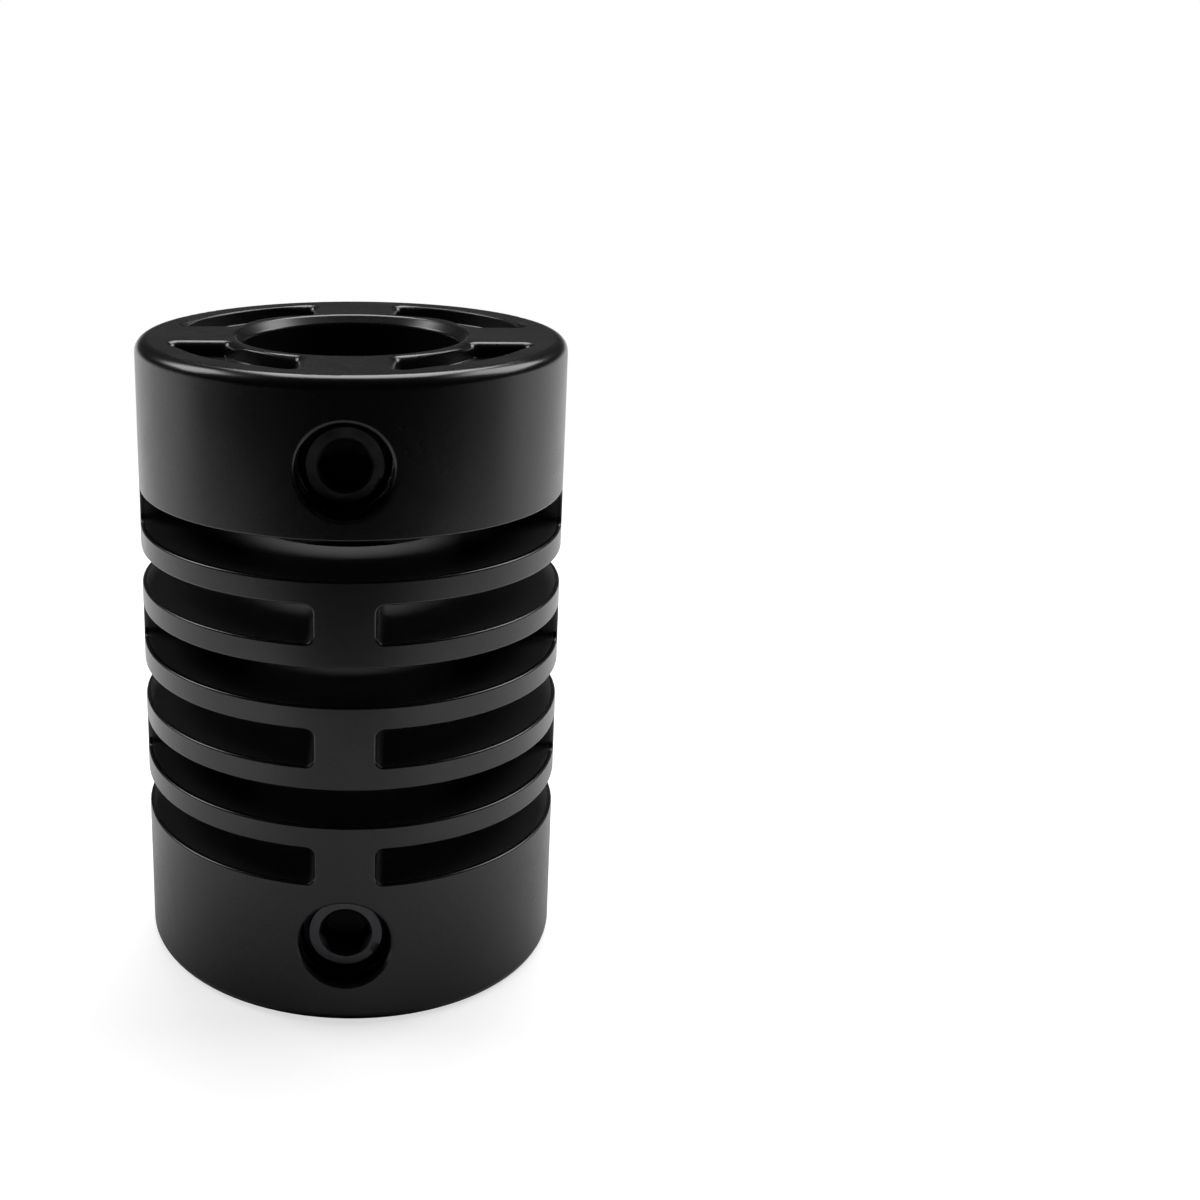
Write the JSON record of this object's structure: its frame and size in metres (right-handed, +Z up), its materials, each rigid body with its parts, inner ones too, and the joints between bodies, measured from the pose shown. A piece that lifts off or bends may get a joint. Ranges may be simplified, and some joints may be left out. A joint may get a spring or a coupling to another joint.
{
  "type": "shaft coupling",
  "caption": "One-piece moulded plastic slit coupling that joins two shafts end to end, held by a set screw in each hub.",
  "frame": {"origin": "centre of the lower end face, on the shaft axis", "axes": "+Z up along the shaft axis, -Y out of the set screws' sockets, +X to the right seen from the screws' side"},
  "size_m": [0.02, 0.02, 0.03],
  "materials": {
    "moulded_polyamide": "satin black, as moulded",
    "black_oxide_steel": "black oxide"
  },
  "bodies": {
    "root": {"coupling_body": "moulded_polyamide", "set_screw_lower": "black_oxide_steel", "set_screw_upper": "black_oxide_steel"}
  },
  "joints": []
}
